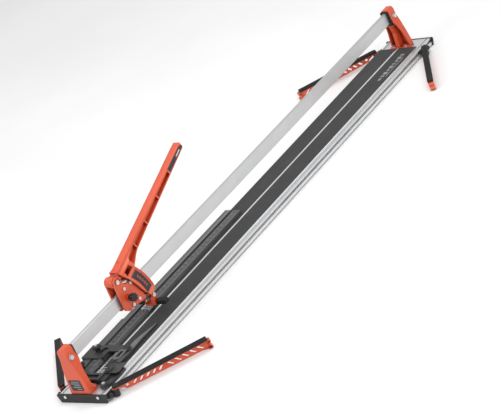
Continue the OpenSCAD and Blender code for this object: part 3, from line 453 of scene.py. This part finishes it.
# ------------------------------------------------------------------ marks on the lever head and the handle
PX, PZ = -0.683, 0.2065
A = math.radians(20)
EU = Vector((math.cos(A), 0, math.sin(A)))
EW = Vector((-math.sin(A), 0, math.cos(A)))
HC = (-0.1296, -0.084)
for side in (-1, 1):
    plo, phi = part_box("head_panels")
    yy = plo[1] if side < 0 else phi[1]
    tag = "front" if side < 0 else "rear"
    bm = bmesh.new()
    # a plain pattern of rounded bars that follows the curve of the panel
    for i in range(9):
        ang = math.radians(9.5 - i * 1.75)
        w = 0.0055 if i % 2 else 0.0095
        r = 0.1912
        c = (HC[0] + r * math.cos(ang), HC[1] + r * math.sin(ang))
        d = (math.cos(ang), math.sin(ang))
        t = (-d[1], d[0])
        ux = EU * d[0] + EW * d[1]
        uy = EU * t[0] + EW * t[1]
        o = Vector((PX, yy, PZ)) + EU * c[0] + EW * c[1]
        prism(bm, rounded(w, 0.0030, 0.0012), o, ux, uy, (0, side, 0), 0.00015)
    obj_from(bm, "head_marks_" + tag, RED, "lever")
    # a light rim line round the panel
    bm = bmesh.new()
    ring_o, ring_i = [], []
    for i in range(13):
        ang = math.radians(13.2 - i * 21.3 / 12)
        ring_o.append((HC[0] + 0.2028 * math.cos(ang), HC[1] + 0.2028 * math.sin(ang)))
    for i in range(13):
        ang = math.radians(-8.9 + i * 24.0 / 12)
        ring_o.append((HC[0] + 0.1798 * math.cos(ang), HC[1] + 0.1798 * math.sin(ang)))
    cx = sum(p[0] for p in ring_o) / len(ring_o); cy = sum(p[1] for p in ring_o) / len(ring_o)
    for p in ring_o:
        dx, dy = cx - p[0], cy - p[1]
        l = math.hypot(dx, dy)
        ring_i.append((p[0] + dx / l * 0.0007, p[1] + dy / l * 0.0007))
    O = Vector((PX, yy, PZ)); nv = Vector((0, side * 0.00015, 0))
    vo = [bm.verts.new(O + EU * p[0] + EW * p[1]) for p in ring_o]
    vi = [bm.verts.new(O + EU * p[0] + EW * p[1]) for p in ring_i]
    vo2 = [bm.verts.new(v.co + nv) for v in vo]
    vi2 = [bm.verts.new(v.co + nv) for v in vi]
    kk = len(vo)
    for i in range(kk):
        j = (i + 1) % kk
        bm.faces.new((vo[i], vo[j], vo2[j], vo2[i]))
        bm.faces.new((vi[i], vi2[i], vi2[j], vi[j]))
        bm.faces.new((vo2[i], vo2[j], vi2[j], vi2[i]))
        bm.faces.new((vo[i], vi[i], vi[j], vo[j]))
    obj_from(bm, "head_rim_" + tag, M["panel_plastic"], "lever")
    # handle: short pale bar and grip ribs on the insert
    hlo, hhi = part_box("handle_inserts")
    yh = hlo[1] if side < 0 else hhi[1]
    bm = bmesh.new()
    prism(bm, rounded(0.026, 0.0034, 0.0012, cx=0.464, cy=-0.0030), (PX, yh, PZ), EU, EW, (0, side, 0), 0.00015)
    obj_from(bm, "handle_mark_" + tag, WHITE, "lever")
    bm = bmesh.new()
    for i in range(16):
        prism(bm, rounded(0.0011, 0.0090, 0.0005, 3, cx=0.4015 + i * 0.0025, cy=-0.0030), (PX, yh, PZ), EU, EW, (0, side, 0), 0.0004)
    obj_from(bm, "handle_ribs_" + tag, M["panel_plastic"], "lever", 0.00012)

# ------------------------------------------------------------------ plates on the brackets
for which, sx in (("near", -1), ("far", 1)):
    blo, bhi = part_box(which + "_bracket")
    xf = blo[0] if sx < 0 else bhi[0]
    bm = bmesh.new()
    prism(bm, rounded(0.044, 0.036, 0.003, cx=0.004, cy=0.0575), (xf, 0, 0), (0, 1, 0), (0, 0, 1), (sx, 0, 0), 0.0007)
    obj_from(bm, which + "_bracket_plate", M["panel_plastic"], "base", 0.0002)
    bm = bmesh.new()
    for i, w in enumerate((0.030, 0.034, 0.024, 0.030, 0.018)):
        prism(bm, rounded(w, 0.0018, 0.0008, 3, cx=0.004 - (0.034 - w) / 2, cy=0.0700 - i * 0.0062), (xf + sx * 0.0007, 0, 0), (0, 1, 0), (0, 0, 1), (sx, 0, 0), 0.00012)
    obj_from(bm, which + "_plate_lines", PALE, "base")

# ------------------------------------------------------------------ mats: plain mark near the far end
mlo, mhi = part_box("front_mat")
zt = mhi[2]
bm = bmesh.new()
xs = mhi[0] - 0.205
for i, w in enumerate((0.016, 0.009, 0.016, 0.012, 0.016, 0.007, 0.014, 0.016, 0.010)):
    prism(bm, rounded(w, 0.0150 if i % 3 else 0.0095, 0.0015, 3, cx=xs - mhi[0] + 0.0 + i * 0.0195, cy=0.0), (mhi[0], -0.046, zt), (1, 0, 0), (0, 1, 0), (0, 0, 1), 0.00012)
obj_from(bm, "mat_mark", FAINT, "front_table")
bm = bmesh.new()
prism(bm, rounded(0.120, 0.0026, 0.0010, 3), (mhi[0] - 0.128, -0.0605, zt), (1, 0, 0), (0, 1, 0), (0, 0, 1), 0.00012)
obj_from(bm, "mat_mark_line", FAINT, "front_table")

# ------------------------------------------------------------------ knobs: grip ribs round each dome
for kname, body in (("fence_knob", "fence_knob"), ("stop_knob", "stop_knob")):
    klo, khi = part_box(kname)
    cx, cy, r = (klo[0] + khi[0]) / 2, (klo[1] + khi[1]) / 2, (khi[0] - klo[0]) / 2
    zk = khi[2]
    bm = bmesh.new()
    for i in range(20):
        a = math.radians(18 * i)
        u = Vector((math.cos(a), math.sin(a), 0)); t = Vector((-math.sin(a), math.cos(a), 0))
        o = Vector((cx, cy, zk - 0.0058)) + u * (r - 0.0006)
        prism(bm, rounded(0.0019, 0.0046, 0.0008, 3), o, t, (0, 0, 1), u, 0.0012)
    obj_from(bm, kname + "_ribs", M["black_plastic"], body, 0.0003)
    bm = bmesh.new()
    k = 40
    prism(bm, [(0.0042 * math.cos(2 * math.pi * i / k), 0.0042 * math.sin(2 * math.pi * i / k)) for i in range(k)], (cx, cy, zk), (1, 0, 0), (0, 1, 0), (0, 0, 1), 0.0005)
    obj_from(bm, kname + "_cap", M["zinc_steel"], body, 0.0002)

# ------------------------------------------------------------------ black cap on the boss of the swinging stop
clo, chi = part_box("stop_cam")
jc = [q for q in frame["joints"] if q["name"] == "stop_cam_swing"][0]["pos_m"]
bm = bmesh.new()
k = 40
for z, r, h in ((chi[2] - 0.0048, 0.0106, 0.0024), (chi[2] - 0.0025, 0.0094, 0.0018), (chi[2] - 0.0008, 0.0064, 0.0013)):
    prism(bm, [(r * math.cos(2 * math.pi * i / k), r * math.sin(2 * math.pi * i / k)) for i in range(k)], (jc[0], jc[1], z), (1, 0, 0), (0, 1, 0), (0, 0, 1), h)
obj_from(bm, "stop_cam_cap", M["black_plastic"], "stop_cam", 0.0004)

# ------------------------------------------------------------------ lighter grey face on the top of the front stop's long nose
bm = bmesh.new()
sl = math.radians(3.4)
prism(bm, [(-0.842, -0.0425), (-0.842, -0.0600), (-0.800, -0.0635), (-0.7345, -0.0602), (-0.7345, -0.0405), (-0.800, -0.0405)], (0, 0, 0.0456), (1, 0, 0), (0, 1, 0), (0, 0, 1), 0.0002)
ox = -0.760
prism(bm, [(0.0272, -0.0598), (0.1072, -0.0567), (0.1088, -0.0550), (0.1070, -0.0538), (0.0600, -0.0462), (0.0272, -0.0418)], (ox, 0, 0.0472), (math.cos(sl), 0, -math.sin(sl)), (0, 1, 0), (math.sin(sl), 0, math.cos(sl)), 0.0002)
obj_from(bm, "front_stop_nose_face", M["grey_lever"], "front_stop")

# ------------------------------------------------------------------ support pads: shallow ribs along the top
for key in ("near_front", "near_rear", "far_front", "far_rear"):
    j = [q for q in frame["joints"] if q["name"] == key + "_fold"][0]
    px_, py_, _ = j["pos_m"]
    plo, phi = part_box(key + "_pad")
    sx = 1 if key.startswith("near") else -1
    sy = -1 if "front" in key else 1
    ang = {"near_front": -39, "near_rear": 41, "far_front": 214, "far_rear": 143}[key]
    a = math.radians(ang)
    u = Vector((math.cos(a), math.sin(a), 0)); t = Vector((-math.sin(a), math.cos(a), 0))
    bm = bmesh.new()
    for off in (-0.0062, -0.0031, 0.0, 0.0031, 0.0062):
        prism(bm, rounded(0.268, 0.0013, 0.0006, 3, cx=0.148, cy=off), (px_, py_, phi[2]), u, t, (0, 0, 1), 0.0004)
    obj_from(bm, key + "_pad_ribs", M["rubber"], key + "_support", 0.00015)

# ------------------------------------------------------------------ stage, light, camera
bm = bmesh.new()
vs = [bm.verts.new((x, y, 0.0)) for x, y in ((-14, -14), (14, -14), (14, 14), (-14, 14))]
bm.faces.new(vs)
me = bpy.data.meshes.new("floor")
bm.to_mesh(me)
bm.free()
floor = bpy.data.objects.new("floor", me)
COLL.objects.link(floor)
fm = Mat("floor_paint", spec=0.25)
fm.color(fm.mix(fm.remap(fm.noise(2.0, 4.0), 0.3, 0.7), (0.86, 0.86, 0.86), (0.90, 0.90, 0.90)))
fm.rough(fm.remap(fm.noise(30.0, 4.0), 0.3, 0.7, 0.75, 0.9))
me.materials.append(fm.m)

world = bpy.data.worlds.new("studio")
scene.world = world
world.use_nodes = True
world.node_tree.nodes["Background"].inputs["Color"].default_value = (1.0, 1.0, 1.0, 1.0)
world.node_tree.nodes["Background"].inputs["Strength"].default_value = 0.66


def area(name, loc, target, size, power, color=(1, 1, 1)):
    d = bpy.data.lights.new(name, "AREA")
    d.shape = "RECTANGLE"
    d.size, d.size_y = size
    d.energy = power
    d.color = color
    o = bpy.data.objects.new(name, d)
    COLL.objects.link(o)
    o.location = loc
    o.rotation_euler = (Vector(target) - Vector(loc)).to_track_quat("-Z", "Y").to_euler()
    return o


area("key", (-1.2, -2.6, 3.2), (0, 0, 0), (3.2, 2.2), 78)
area("fill", (-3.0, 1.6, 2.0), (0, 0, 0.1), (2.4, 2.0), 30)
area("top", (0.6, 0.4, 3.4), (0, 0, 0), (3.5, 2.2), 38)

cam_d = bpy.data.cameras.new("cam")
cam = bpy.data.objects.new("cam", cam_d)
COLL.objects.link(cam)
right = Vector((0.516, -0.7671, -0.3812)).normalized()
back = Vector((-0.6499, -0.6405, 0.4091)).normalized()
up = back.cross(right).normalized()
right = up.cross(back).normalized()
rot = Matrix((right, up, back)).transposed()
cam.matrix_world = Matrix.Translation((-4.589, -4.4683, 2.8866)) @ rot.to_4x4()
cam_d.sensor_width = 36
cam_d.sensor_fit = "HORIZONTAL"
cam_d.lens = 164.84
cam_d.clip_end = 60
scene.camera = cam
scene.view_settings.view_transform = "Standard"
